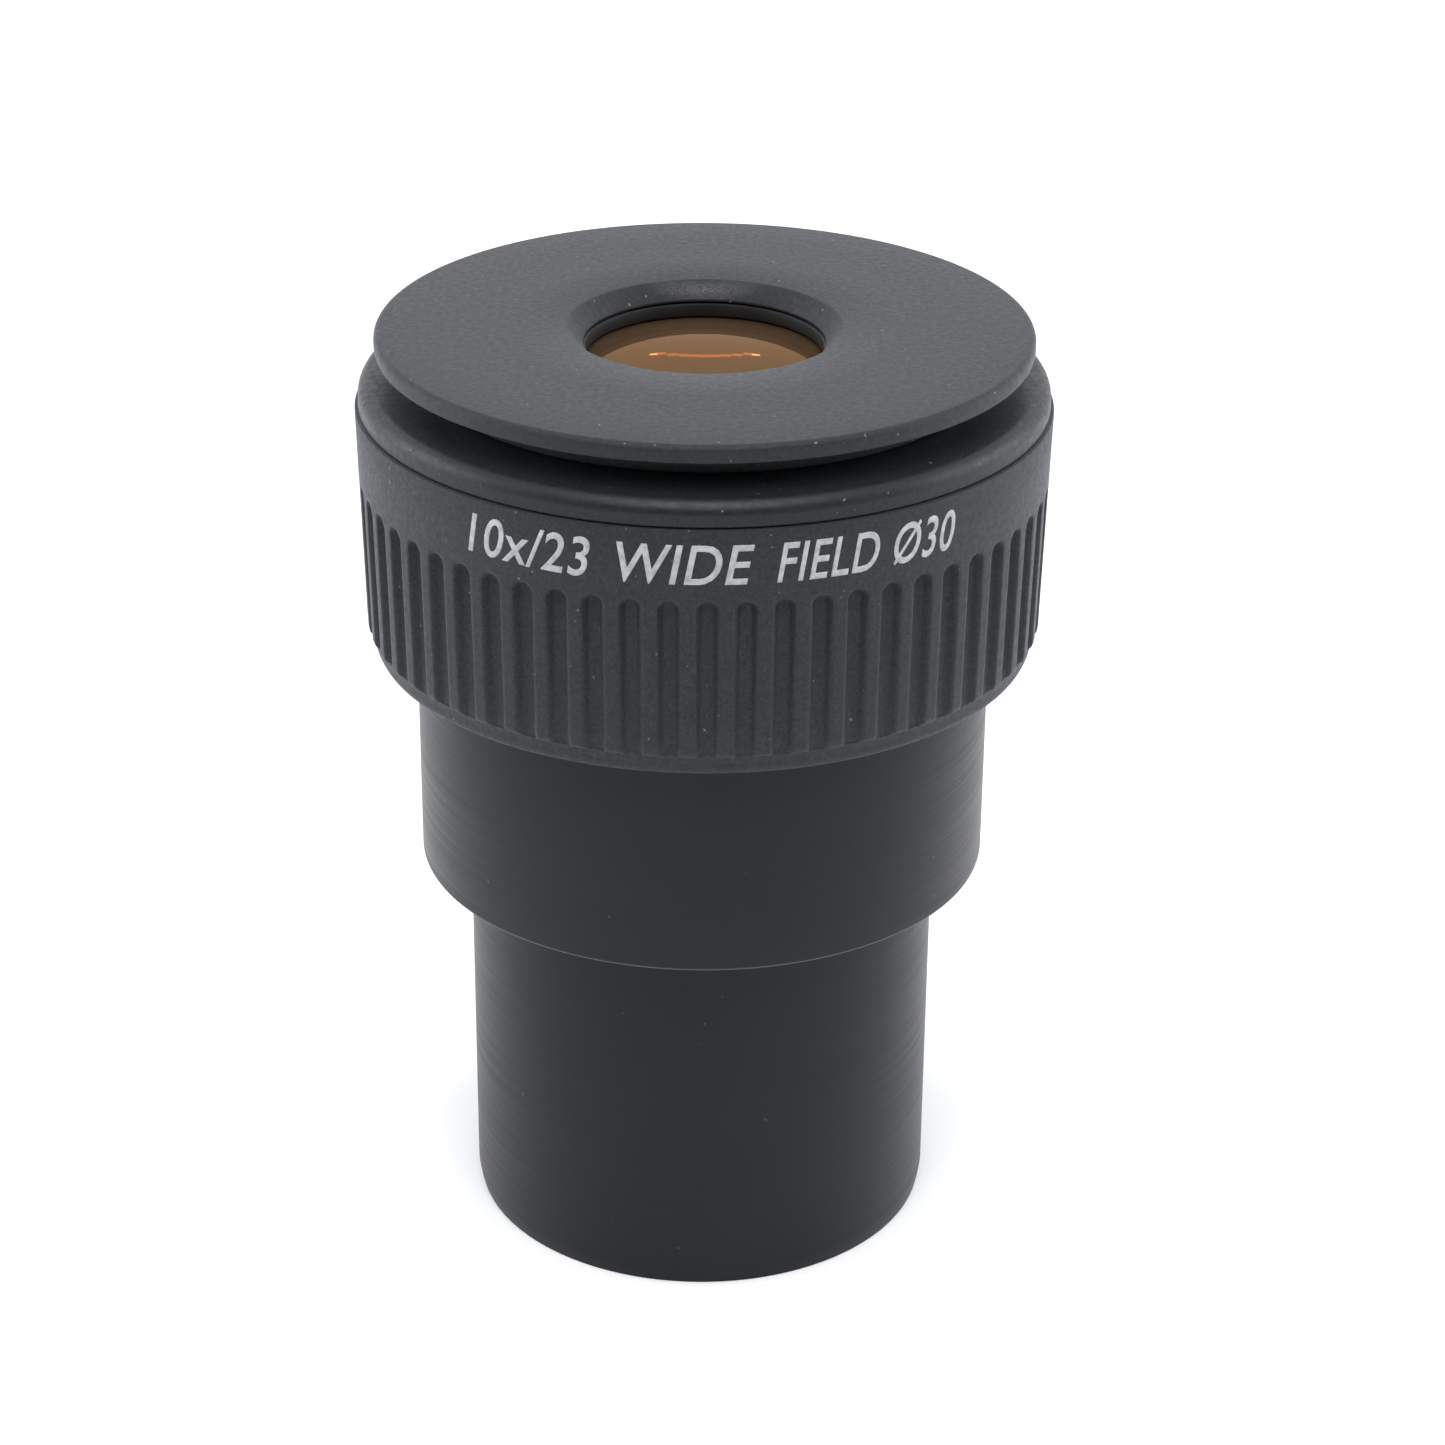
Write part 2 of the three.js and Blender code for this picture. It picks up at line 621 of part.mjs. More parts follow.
addBody("eye_barrel", [
  ["lens_barrel", lensBarrel(), blackInner],
  [
    "field_lens_lower",
    lens(flatSurface(fieldBottomZ, lensRadius), surfacePoints(fieldJoint, lensRadius)),
    coatedGlass,
  ],
  [
    "field_lens_upper",
    lens(surfacePoints(fieldJoint, lensRadius, SEAT), surfacePoints(fieldTop, lensRadius)),
    coatedGlass,
  ],
  ["lens_spacer", lensSpacer(), blackInner],
  [
    "middle_lens",
    lens(surfacePoints(middleBottom, lensRadius), surfacePoints(middleTop, lensRadius)),
    coatedGlass,
  ],
  ["field_lens_retainer", fieldLensRetainer(), blackInner],
  [
    "eye_lens_lower",
    lens(flatSurface(eyeSeatZ, eyeLensRadius), surfacePoints(eyeJoint, eyeLensRadius)),
    coatedGlass,
  ],
  [
    "eye_lens_upper",
    lens(surfacePoints(eyeJoint, eyeLensRadius, SEAT), surfacePoints(eyeTop, eyeLensRadius)),
    coatedGlass,
  ],
  ["eye_lens_retainer", eyeLensRetainer(), blackInner],
  [
    "eyecup_stop_ring",
    plainRing(stopRingBore, stopRingRadius, stopRingBottomZ, stopRingTopZ, INNER_SIDES),
    brass,
  ],
  ["eyecup_friction_ring", frictionRing(), rubber],
]);

addBody("focus_ring", [
  ["grip_ring", gripRing(), blackGrip],
  [
    "helicoid_nut",
    plainRing(sleeveRadius + RUNNING, gripBore - SEAT, nutBottomZ, nutTopZ, OUTER_SIDES),
    brass,
  ],
  [
    "thrust_washer",
    plainRing(barrelRadius + 2 * RUNNING, flangeRadius, washerBottomZ, washerTopZ),
    slipPlastic,
  ],
  ["thrust_retaining_ring", thrustRetainingRing(), brass],
  ["ring_cap", ringCap(), blackMoulded],
]);

addBody("eyecup", [
  ["eyecup_pad", eyecupPad(), blackMoulded],
  ["eyecup_slider", eyecupSlider(), blackMoulded],
]);

export default eyepiece;
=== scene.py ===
# A 10x wide-field microscope eyepiece standing on its insertion tube.
# Every turned piece is drawn as half of its section and spun round the optical axis, as on a lathe.
import math

import bmesh
import bpy
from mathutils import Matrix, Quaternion, Vector


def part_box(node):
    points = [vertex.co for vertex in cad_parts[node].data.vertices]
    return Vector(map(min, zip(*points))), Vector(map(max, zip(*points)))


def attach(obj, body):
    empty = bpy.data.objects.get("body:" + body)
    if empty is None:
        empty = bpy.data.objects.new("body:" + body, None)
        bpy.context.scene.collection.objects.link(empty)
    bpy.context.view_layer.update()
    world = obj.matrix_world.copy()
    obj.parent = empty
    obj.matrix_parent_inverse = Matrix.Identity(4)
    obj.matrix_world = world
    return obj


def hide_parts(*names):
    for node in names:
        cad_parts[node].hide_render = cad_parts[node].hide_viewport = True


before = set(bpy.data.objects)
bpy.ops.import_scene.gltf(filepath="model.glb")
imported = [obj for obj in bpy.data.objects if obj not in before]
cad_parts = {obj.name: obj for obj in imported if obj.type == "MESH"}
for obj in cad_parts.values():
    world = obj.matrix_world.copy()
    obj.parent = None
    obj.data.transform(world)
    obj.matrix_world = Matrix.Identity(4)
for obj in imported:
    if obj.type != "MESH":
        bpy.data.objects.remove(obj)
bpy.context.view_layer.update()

MM = 0.001


# ---------------------------------------------------------------- places taken from the CAD frame
def foot(node):
    """The lowest height of a CAD node, in millimetres."""
    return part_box(node)[0][2] / MM


def top(node):
    """The greatest height of a CAD node, in millimetres."""
    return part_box(node)[1][2] / MM


def rim(node):
    """The outer radius of a CAD node, in millimetres."""
    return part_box(node)[1][0] / MM


# Sizes that more than one piece shares, in millimetres.
FIT = 0.05              # gap between two pieces that rest against each other
TUBE_WALL = 1.8
NECK_OVERHANG = 2.6     # the eyecup's neck past its sliding tube
SLIDER_WALL = 1.7
SLIDER_PLAY = 0.15
EYE_HOLE_INSET = 2.15   # the eye opening inside the rim of the eye lens
LETTER_HEIGHT = 2.55

tube_r, sleeve_r, grip_r = rim("insertion_tube"), rim("body_sleeve"), rim("grip_ring")
cap_r, pad_r = rim("ring_cap"), rim("eyecup_pad")
shoulder_z = foot("body_sleeve")
grip_z0, grip_z1 = foot("grip_ring"), top("grip_ring")
cap_z0, cap_z1 = grip_z1 + FIT, top("ring_cap")
pad_z0, pad_z1 = foot("eyecup_pad"), top("eyecup_pad")
bore_r = tube_r - TUBE_WALL
lens_r = rim("middle_lens")
eye_r = rim("eye_lens_upper")
eye_hole_r = eye_r - EYE_HOLE_INSET
neck_r = rim("eyecup_slider")
slider_r = neck_r - NECK_OVERHANG
snout_r = slider_r - SLIDER_WALL - SLIDER_PLAY
screw_z = (foot("guide_screw") + top("guide_screw")) / 2


# ---------------------------------------------------------------- shaping helpers
def deselect():
    bpy.ops.object.select_all(action="DESELECT")


def pick(piece):
    deselect()
    piece.select_set(True)
    bpy.context.view_layer.objects.active = piece


def keep_in_mesh(piece):
    """Leaves the piece's object at the origin, unturned and unscaled, with its place in its mesh."""
    pick(piece)
    bpy.ops.object.transform_apply(location=True, rotation=True, scale=True)


def start_point(name, place):
    """A new piece that is one vertex at a place in millimetres, left in edit mode with it selected."""
    deselect()
    bpy.ops.mesh.primitive_plane_add(size=MM, location=Vector(place) * MM, enter_editmode=True)
    piece = bpy.context.object
    piece.name = name
    piece.data.name = name
    bpy.ops.mesh.select_mode(type="VERT")
    bpy.ops.mesh.select_all(action="SELECT")
    bpy.ops.mesh.merge(type="CENTER")
    return piece


def draw_outline(name, outline, azimuth=180.0):
    """Draws a half section of [radius, height] points in the plane at that azimuth from the front."""
    a = math.radians(azimuth)
    points = [Vector((r * math.sin(a), -r * math.cos(a), z)) for r, z in outline]
    piece = start_point(name, points[0])
    for here, there in zip(points, points[1:]):
        bpy.ops.mesh.extrude_region_move(TRANSFORM_OT_translate={"value": (there - here) * MM})
    if outline[0][0] > 0:
        first_and_last(piece)
        bpy.ops.mesh.edge_face_add()
    bpy.ops.mesh.select_all(action="SELECT")
    return piece


def first_and_last(piece):
    """Selects the two open ends of a chain of edges."""
    work = bmesh.from_edit_mesh(piece.data)
    for v in work.verts:
        v.select = len(v.link_edges) == 1
    work.select_flush_mode()
    bmesh.update_edit_mesh(piece.data)


def close_up():
    """Merges the seam and the poles, and turns every face outwards."""
    bpy.ops.mesh.select_all(action="SELECT")
    bpy.ops.mesh.remove_doubles(threshold=0.006 * MM)
    bpy.ops.mesh.normals_make_consistent(inside=False)


def ease_edges(piece, width, segments=3, angle=25):
    """Rounds every edge that is sharper than the angle."""
    pick(piece)
    bevel = piece.modifiers.new("ease", "BEVEL")
    bevel.width = width * MM
    bevel.segments = segments
    bevel.limit_method = "ANGLE"
    bevel.angle_limit = math.radians(angle)
    bevel.use_clamp_overlap = True
    bpy.ops.object.modifier_apply(modifier=bevel.name)


def smooth(piece, angle=28):
    pick(piece)
    bpy.ops.object.shade_smooth_by_angle(angle=math.radians(angle))


def turned(name, outline, sides=192, edge=0.08, segments=2):
    """A round piece spun from its half section, with its edges eased."""
    piece = draw_outline(name, outline)
    bpy.ops.mesh.spin(steps=sides, angle=math.tau, center=(0, 0, 0), axis=(0, 0, 1))
    close_up()
    bpy.ops.object.mode_set(mode="OBJECT")
    keep_in_mesh(piece)
    if edge:
        ease_edges(piece, edge, segments)
    smooth(piece)
    return piece


def arc(centre_r, centre_z, radius_r, radius_z, start, end, steps):
    """Points of part of an ellipse in the half section, between two angles in degrees."""
    turn = [math.radians(start + (end - start) * i / steps) for i in range(steps + 1)]
    return [(centre_r + radius_r * math.cos(t), centre_z + radius_z * math.sin(t)) for t in turn]


def cut_with(piece, tool):
    """Cuts a tool solid out of a piece and removes the tool."""
    pick(piece)
    boolean = piece.modifiers.new("cut", "BOOLEAN")
    boolean.operation = "DIFFERENCE"
    boolean.solver = "EXACT"
    boolean.object = tool
    bpy.ops.object.modifier_apply(modifier=boolean.name)
    bpy.data.objects.remove(tool, do_unlink=True)


def slot_tool(length, width, height, place):
    """A block for cutting a slot."""
    deselect()
    bpy.ops.mesh.primitive_cube_add(size=1, location=Vector(place) * MM)
    tool = bpy.context.object
    tool.scale = (length * MM, width * MM, height * MM)
    keep_in_mesh(tool)
    return tool


def drill_tool(radius, depth, place, sides=48, along="Z"):
    """A rod for cutting a round hole along Z or Y."""
    deselect()
    spin = (math.pi / 2, 0, 0) if along == "Y" else (0, 0, 0)
    bpy.ops.mesh.primitive_cylinder_add(
        vertices=sides, radius=radius * MM, depth=depth * MM, location=Vector(place) * MM, rotation=spin)
    tool = bpy.context.object
    keep_in_mesh(tool)
    return tool


# ---------------------------------------------------------------- finishes
def new_finish(name):
    """A new material with its node tree and its shader."""
    made = bpy.data.materials.new(name)
    made.use_nodes = True
    return made, made.node_tree, made.node_tree.nodes["Principled BSDF"]


def noise(tree, scale, detail=3.0, rough=0.55, stretch=None, offset=0.0):
    """Fine noise on Object coordinates, in metres, with an optional stretch along the axes."""
    place = tree.nodes.new("ShaderNodeTexCoord")
    mapping = tree.nodes.new("ShaderNodeMapping")
    mapping.inputs["Scale"].default_value = stretch or (1, 1, 1)
    mapping.inputs["Location"].default_value = (offset, offset * 0.7, offset * 1.3)
    texture = tree.nodes.new("ShaderNodeTexNoise")
    texture.inputs["Scale"].default_value = scale
    texture.inputs["Detail"].default_value = detail
    texture.inputs["Roughness"].default_value = rough
    tree.links.new(place.outputs["Object"], mapping.inputs["Vector"])
    tree.links.new(mapping.outputs["Vector"], texture.inputs["Vector"])
    return texture.outputs["Fac"]


def ramp(tree, value, low, high, first=0.0, last=1.0):
    """Maps a value from one range to another, clamped."""
    node = tree.nodes.new("ShaderNodeMapRange")
    node.inputs["From Min"].default_value = low
    node.inputs["From Max"].default_value = high
    node.inputs["To Min"].default_value = first
    node.inputs["To Max"].default_value = last
    tree.links.new(value, node.inputs["Value"])
    return node.outputs["Result"]


def mixed(tree, share, first, last):
    """Mixes two colours, each a value or a socket."""
    node = tree.nodes.new("ShaderNodeMix")
    node.data_type = "RGBA"
    for socket, colour in (("A", first), ("B", last)):
        entry = [i for i in node.inputs if i.name == socket and i.type == "RGBA"][0]
        if isinstance(colour, (tuple, list)):
            entry.default_value = (*colour, 1.0)
        else:
            tree.links.new(colour, entry)
    tree.links.new(share, node.inputs["Factor"])
    return [o for o in node.outputs if o.type == "RGBA"][0]


def bumped(tree, shader, height, strength, distance, before=None):
    """Adds a fine relief, a distance in metres deep, on top of any relief before it."""
    node = tree.nodes.new("ShaderNodeBump")
    node.inputs["Strength"].default_value = strength
    node.inputs["Distance"].default_value = distance
    tree.links.new(height, node.inputs["Height"])
    if before:
        tree.links.new(before, node.inputs["Normal"])
    tree.links.new(node.outputs["Normal"], shader.inputs["Normal"])
    return node.outputs["Normal"]


def edge_glint_at(tree, height):
    """A painted highlight: 1 on a rim at a height in millimetres on the axis, fading to 0 within a tenth of a
    millimetre.
    """
    place = tree.nodes.new("ShaderNodeTexCoord")
    parts = tree.nodes.new("ShaderNodeSeparateXYZ")
    away = tree.nodes.new("ShaderNodeMath")
    away.operation = "SUBTRACT"
    away.inputs[1].default_value = height * MM
    near = tree.nodes.new("ShaderNodeMath")
    near.operation = "ABSOLUTE"
    tree.links.new(place.outputs["Object"], parts.inputs["Vector"])
    tree.links.new(parts.outputs["Z"], away.inputs[0])
    tree.links.new(away.outputs[0], near.inputs[0])
    return ramp(tree, near.outputs[0], 0.04 * MM, 0.13 * MM, 0.36, 0.0)


def grained_plastic(name, dark, light, roughness, grain=0.35, speck=0.5, shine=0.30, sheen=0.0):
    """Black moulding with a fine sparkling grain, a faint cloudiness and pale dust in it."""
    made, tree, shader = new_finish(name)
    mottle = ramp(tree, noise(tree, 5200, 3.0, 0.6), 0.36, 0.64)
    base = mixed(tree, mottle, dark, light)
    cloud = ramp(tree, noise(tree, 26, 2.0, offset=3.1), 0.35, 0.7, 0.0, 0.10)
    base = mixed(tree, cloud, base, tuple(c * 1.25 for c in light))
    dust = ramp(tree, noise(tree, 3100, 1.0, 0.3, offset=7.7), 0.775, 0.82, 0.0, speck)
    base = mixed(tree, dust, base, (0.34, 0.35, 0.37))
    tree.links.new(base, shader.inputs["Base Color"])
    gloss = ramp(tree, noise(tree, 2600, 3.0, offset=1.9), 0.35, 0.65, roughness - 0.07, roughness + 0.07)
    tree.links.new(gloss, shader.inputs["Roughness"])
    coarse = bumped(tree, shader, noise(tree, 3000, 3.0, offset=5.0), grain, 0.00003)
    bumped(tree, shader, noise(tree, 8000, 2.0, offset=9.0), grain * 0.8, 0.000012, coarse)
    shader.inputs["Specular IOR Level"].default_value = shine
    shader.inputs["Sheen Weight"].default_value = sheen
    shader.inputs["Sheen Roughness"].default_value = 0.45
    shader.inputs["Sheen Tint"].default_value = (0.86, 0.92, 1.0, 1.0)
    return made


def paint_funnel_light(made, centre, colour):
    """A pale patch painted round a point given in millimetres on the back of the sloping wall: a painted
    highlight for the light that part of the funnel catches, broken up by fine noise.
    """
    tree = made.node_tree
    shader = tree.nodes["Principled BSDF"]
    under = shader.inputs["Base Color"].links[0].from_socket
    place = tree.nodes.new("ShaderNodeTexCoord")
    mapping = tree.nodes.new("ShaderNodeMapping")
    mapping.inputs["Scale"].default_value = (0.13, 1, 1)
    mapping.inputs["Location"].default_value = tuple(-c * MM for c in centre)
    away = tree.nodes.new("ShaderNodeVectorMath")
    away.operation = "LENGTH"
    tree.links.new(place.outputs["Object"], mapping.inputs["Vector"])
    tree.links.new(mapping.outputs["Vector"], away.inputs[0])
    lit_share = ramp(tree, away.outputs["Value"], 0.10 * MM, 0.80 * MM, 1.0, 0.0)
    lit_grains = mixed(tree, ramp(tree, noise(tree, 9500, 3.0, offset=6.0), 0.30, 0.70), under, colour)
    tree.links.new(mixed(tree, lit_share, under, lit_grains), shader.inputs["Base Color"])


def anodised(name, dark, light, roughness, lines=0.05):
    """Satin black anodising over fine turning marks."""
    made, tree, shader = new_finish(name)
    cloud = ramp(tree, noise(tree, 60, 3.0), 0.35, 0.65)
    base = mixed(tree, cloud, dark, light)
    dust = ramp(tree, noise(tree, 1700, 1.0, 0.3, offset=4.4), 0.80, 0.84, 0.0, 0.14)
    base = mixed(tree, dust, base, (0.25, 0.26, 0.28))
    # Painted highlight: a pale line at the sleeve's foot stands in for the light its lower edge catches.
    base = mixed(tree, edge_glint_at(tree, shoulder_z + 0.05), base, (0.20, 0.205, 0.21))
    tree.links.new(base, shader.inputs["Base Color"])
    streak = noise(tree, 24, 3.0, 0.6, stretch=(1, 1, 260))
    gloss = ramp(tree, streak, 0.3, 0.7, roughness - 0.05, roughness + 0.05)
    tree.links.new(gloss, shader.inputs["Roughness"])
    turning = bumped(tree, shader, streak, lines, 0.00002)
    bumped(tree, shader, noise(tree, 4200, 2.0, offset=2.2), 0.12, 0.00001, turning)
    shader.inputs["Specular IOR Level"].default_value = 0.22
    return made


def turned_metal(name, dark, light, roughness):
    """Bare metal with fine turning marks."""
    made, tree, shader = new_finish(name)
    streak = noise(tree, 30, 3.0, 0.6, stretch=(1, 1, 220))
    tree.links.new(mixed(tree, ramp(tree, streak, 0.35, 0.65), dark, light), shader.inputs["Base Color"])
    gloss = ramp(tree, streak, 0.3, 0.7, roughness - 0.06, roughness + 0.08)
    tree.links.new(gloss, shader.inputs["Roughness"])
    bumped(tree, shader, streak, 0.15, 0.00003)
    shader.inputs["Metallic"].default_value = 1.0
    return made


def plain_moulding(name, dark, light, roughness):
    """A plain even material for the pieces inside."""
    made, tree, shader = new_finish(name)
    cloud = ramp(tree, noise(tree, 400, 3.0), 0.35, 0.65)
    tree.links.new(mixed(tree, cloud, dark, light), shader.inputs["Base Color"])
    gloss = ramp(tree, noise(tree, 900, 2.0, offset=2.0), 0.35, 0.65, roughness - 0.06, roughness + 0.06)
    tree.links.new(gloss, shader.inputs["Roughness"])
    bumped(tree, shader, noise(tree, 3000, 2.0, offset=6.0), 0.15, 0.00002)
    return made


def coated_glass(name, tint, reflection, through, roughness=0.02, index=1.5, coat=0.0):
    """Optical glass with a warm coated reflection; where it does not let light through, its amber body colour
    is painted light, standing in for warm light shining up through the lens.
    """
    made, tree, shader = new_finish(name)
    haze = ramp(tree, noise(tree, 240, 3.0), 0.4, 0.75)
    tree.links.new(mixed(tree, haze, tint, tuple(c * 0.93 for c in tint)), shader.inputs["Base Color"])
    smear = ramp(tree, noise(tree, 160, 4.0, offset=2.0), 0.4, 0.8, roughness, roughness + 0.03)
    tree.links.new(smear, shader.inputs["Roughness"])
    shader.inputs["Transmission Weight"].default_value = through
    shader.inputs["IOR"].default_value = index
    shader.inputs["Specular IOR Level"].default_value = 0.50
    shader.inputs["Specular Tint"].default_value = (*reflection, 1.0)
    shader.inputs["Metallic"].default_value = coat
    return made


def printed(name):
    """The pale filling of the engraving."""
    made, tree, shader = new_finish(name)
    patch = ramp(tree, noise(tree, 2400, 3.0), 0.35, 0.68)
    tree.links.new(mixed(tree, patch, (0.42, 0.42, 0.44), (0.28, 0.28, 0.30)), shader.inputs["Base Color"])
    gloss = ramp(tree, noise(tree, 1500, 2.0), 0.3, 0.7, 0.55, 0.75)
    tree.links.new(gloss, shader.inputs["Roughness"])
    bumped(tree, shader, noise(tree, 3500, 2.0, offset=3.0), 0.3, 0.00002)
    return made


grip_black = grained_plastic("grip_black", (0.0110, 0.0120, 0.0150), (0.0205, 0.0220, 0.0268), 0.58,
                             speck=0.3, shine=0.27, sheen=0.09)
cup_black = grained_plastic("cup_black", (0.0095, 0.0103, 0.0130), (0.0160, 0.0172, 0.0212), 0.58,
                            grain=0.45, speck=0.4, shine=0.28, sheen=0.14)
# A darker copy of the black moulding: its lower base colour is partly painted shade, standing in for the
# shadow the eyecup pad casts on the cap.
cap_black = grained_plastic("cap_black", (0.0050, 0.0056, 0.0075), (0.0100, 0.0108, 0.0135), 0.44,
                            shine=0.32, sheen=0.04)
# Painted highlight on the back of the funnel: a pale grained patch standing in for the light it catches.
paint_funnel_light(cup_black, (0, eye_hole_r + 0.5, pad_z1 - 0.55), (0.082, 0.085, 0.091))
# Painted light: a lighter copy of the black moulding, lifting the neck that sits in shade under the pad.
neck_black = grained_plastic("neck_black", (0.032, 0.037, 0.043), (0.047, 0.053, 0.060), 0.62)
satin_black = anodised("satin_black", (0.0036, 0.0045, 0.0080), (0.0052, 0.0063, 0.0100), 0.40)
inner_black = plain_moulding("inner_black", (0.004, 0.004, 0.005), (0.009, 0.009, 0.010), 0.70)
stop_black = plain_moulding("stop_black", (0.0035, 0.0036, 0.0042), (0.0062, 0.0064, 0.0072), 0.62)
ring_brass = turned_metal("ring_brass", (0.50, 0.34, 0.12), (0.62, 0.45, 0.19), 0.34)
screw_steel = turned_metal("screw_steel", (0.05, 0.05, 0.055), (0.09, 0.09, 0.095), 0.38)
slip_plastic = plain_moulding("slip_plastic", (0.62, 0.58, 0.50), (0.70, 0.67, 0.60), 0.45)
ring_rubber = plain_moulding("ring_rubber", (0.010, 0.010, 0.010), (0.018, 0.018, 0.018), 0.6)
# Painted light: the eye lens's amber body colour, on the share that does not transmit, stands in for warm
# light coming up through the lens; the orange reflection tint is the coating's.
eye_glass = coated_glass("eye_glass", (0.30, 0.19, 0.105), (1.0, 0.50, 0.20), 0.80, index=1.10, coat=0.24)
inner_glass = coated_glass("inner_glass", (0.86, 0.66, 0.46), (1.0, 0.66, 0.40), 0.97)
engraving_fill = printed("engraving_fill")


def finish_piece(piece, material, body, stands_for=()):
    """Gives a piece its finish and says what it moves with and stands for."""
    piece.data.materials.clear()
    piece.data.materials.append(material)
    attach(piece, body)
    if stands_for:
        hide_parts(*stands_for)


# ---------------------------------------------------------------- tube assembly
def make_insertion_tube():
    """The plain tube that goes into the microscope, with glare-stopping threads inside its mouth."""
    spigot_r = tube_r - 0.8
    upper_bore_r = bore_r - 0.8
    socket_z = shoulder_z + 0.45
    stop_seat_z = top("field_stop") + FIT
    thread_top = foot("field_stop_retainer") - 0.4
    outline = [
        (bore_r + 0.3, 0.0), (tube_r - 0.2, 0.0), (tube_r - 0.1, 0.45), (tube_r, 1.1), (tube_r, socket_z),
        (spigot_r, socket_z), (spigot_r, top("insertion_tube")), (upper_bore_r, top("insertion_tube")),
        (upper_bore_r, stop_seat_z), (bore_r, stop_seat_z), (bore_r, thread_top)]
    threads = 18
    pitch = (thread_top - 1.0) / threads
    for i in range(threads):
        z = thread_top - pitch * i
        outline += [(bore_r + 0.14, z - pitch * 0.45), (bore_r, z - pitch)]
    return turned("insertion_tube_shell", outline, sides=192, edge=0.04, segments=1)


def make_body_sleeve():
    """The outer sleeve that rests on the microscope, with a hole for the guide screw at the back."""
    sleeve_bore = sleeve_r - 1.22
    spigot_r = tube_r - 0.7
    floor_z = top("insertion_tube") + 0.025
    outline = [
        (tube_r + 0.1, shoulder_z), (sleeve_r, shoulder_z), (sleeve_r, top("body_sleeve")),
        (sleeve_bore, top("body_sleeve")), (sleeve_bore, floor_z), (spigot_r, floor_z),
        (spigot_r, shoulder_z + 0.5), (tube_r + 0.1, shoulder_z + 0.5)]
    piece = turned("body_sleeve_shell", outline, sides=192, edge=0.14, segments=3)
    cut_with(piece, drill_tool(1.2, 4, (0, sleeve_r - 0.6, screw_z), along="Y"))
    smooth(piece)
    return piece


def make_field_stop():
    """The thin knife-edged diaphragm that bounds the field."""
    z0, z1, r = foot("field_stop"), top("field_stop"), rim("field_stop")
    hole = bore_r - 1.7
    outline = [(hole + 0.6, z0), (r, z0), (r, z1), (hole, z1), (hole, z1 - 0.1)]
    return turned("field_stop_disc", outline, 160, 0.03)


def make_slotted_ring(name, node, inner, edge=0.08):
    """A threaded retaining ring with two spanner slots across its lower face."""
    z0, z1, r = foot(node), top(node), rim(node)
    piece = turned(name, [(inner, z0), (r, z0), (r, z1), (inner, z1)], 160, 0)
    cut_with(piece, slot_tool(2 * r + 2, 1.2, 1.2, (0, 0, z0)))
    ease_edges(piece, edge, 2, 40)
    smooth(piece)
    return piece


# ---------------------------------------------------------------- eye barrel
EYE_LENS_BEND = -32


def rise_at(radius, r):
    """How far a lens face of that radius stands from its vertex at r; a positive bend rises to the rim."""
    return math.copysign(abs(radius) - math.sqrt(radius * radius - r * r), radius)


def bend_points(vertex_z, radius, out_to, steps, shift=0.0):
    """Points of a lens face from the axis out to a radius."""
    radii = [out_to * i / steps for i in range(steps + 1)]
    return [(r, vertex_z + rise_at(radius, r) + shift) for r in radii]


def lens_piece(name, low_face, high_face):
    return turned(name, low_face + high_face[::-1], sides=160, edge=0.05, segments=2)


def make_lens_barrel():
    """The barrel that holds the lenses, stepped inside against stray light, with the rubber ring's groove."""
    z0, z1 = foot("lens_barrel"), top("lens_barrel")
    barrel_r, flange_r = sleeve_r - 1.32, rim("lens_barrel")
    stop_z0, stop_z1 = foot("eyecup_stop_ring") - FIT, top("eyecup_stop_ring") + FIT
    stop_r = rim("eyecup_stop_ring") + FIT
    pocket_r = barrel_r - 1.5
    floor_z = foot("eyecup_slider") - FIT
    seat_z = foot("eye_lens_lower") - FIT
    ring_z = (foot("eyecup_friction_ring") + top("eyecup_friction_ring")) / 2
    wall = 1.2
    under = floor_z - wall
    groove_r, groove_half = snout_r - 0.95, 0.56
    outline = [
        (lens_r + FIT, z0), (barrel_r, z0), (barrel_r, stop_z1 - wall), (flange_r, stop_z1 - wall),
        (flange_r, stop_z1), (stop_r, stop_z1), (stop_r, stop_z0), (pocket_r, stop_z0),
        (pocket_r, floor_z), (snout_r, floor_z),
        (snout_r, ring_z - groove_half), (groove_r, ring_z - groove_half),
        (groove_r, ring_z + groove_half), (snout_r, ring_z + groove_half), (snout_r, z1), (eye_r + FIT, z1),
        (eye_r + FIT, seat_z), (eye_r - 0.9, seat_z), (eye_r - 0.9, seat_z - 1.0),
        (lens_r - 2.9, under + 0.84), (lens_r - 1.3, under + 0.24), (lens_r + FIT, under)]
    piece = turned("lens_barrel_shell", outline, sides=160, edge=0.06, segments=2)
    cut_with(piece, slot_tool(2.1, 2.0, 8.35, (0, barrel_r + 0.1, screw_z)))
    smooth(piece)
    return piece


def make_eye_retainer():
    """The thin black ring that holds the eye lens, with two spanner holes."""
    z1 = top("eye_lens_retainer")
    vertex = top("eye_lens_upper")
    bore = eye_r - 2.3
    under = [(r, vertex + rise_at(EYE_LENS_BEND, r) + 0.1) for r in (bore, bore + 0.8, bore + 1.6, eye_r)]
    piece = turned("eye_lens_retaining_ring", under + [(eye_r, z1), (bore, z1)], 160, 0.05, 2)
    for x in (-1, 1):
        cut_with(piece, drill_tool(0.5, 1.0, (x * (bore + eye_r) / 2, 0, z1), 32))
    smooth(piece)
    return piece


# ---------------------------------------------------------------- focus ring
GROOVES = 60
GROOVE_PITCH = 360 / GROOVES
GROOVE_PHASE = 0.7          # degrees from the front to the middle of the nearest groove
GROOVE_FLOOR_R = grip_r - 0.73
SECTION_STEPS = 20


def groove_share(distance):
    """How deep the groove is at a distance in millimetres from its middle: 1 on the floor, 0 on the land."""
    floor, reach, sag = 0.34, 0.74, 0.04
    if distance <= floor:
        return 1.0 - sag * (distance / floor) ** 2
    if distance >= reach:
        return 0.0
    t = (distance - floor) / (reach - floor)
    return (1 - sag) * (1 - t) ** 2 * (1 + 2 * t)


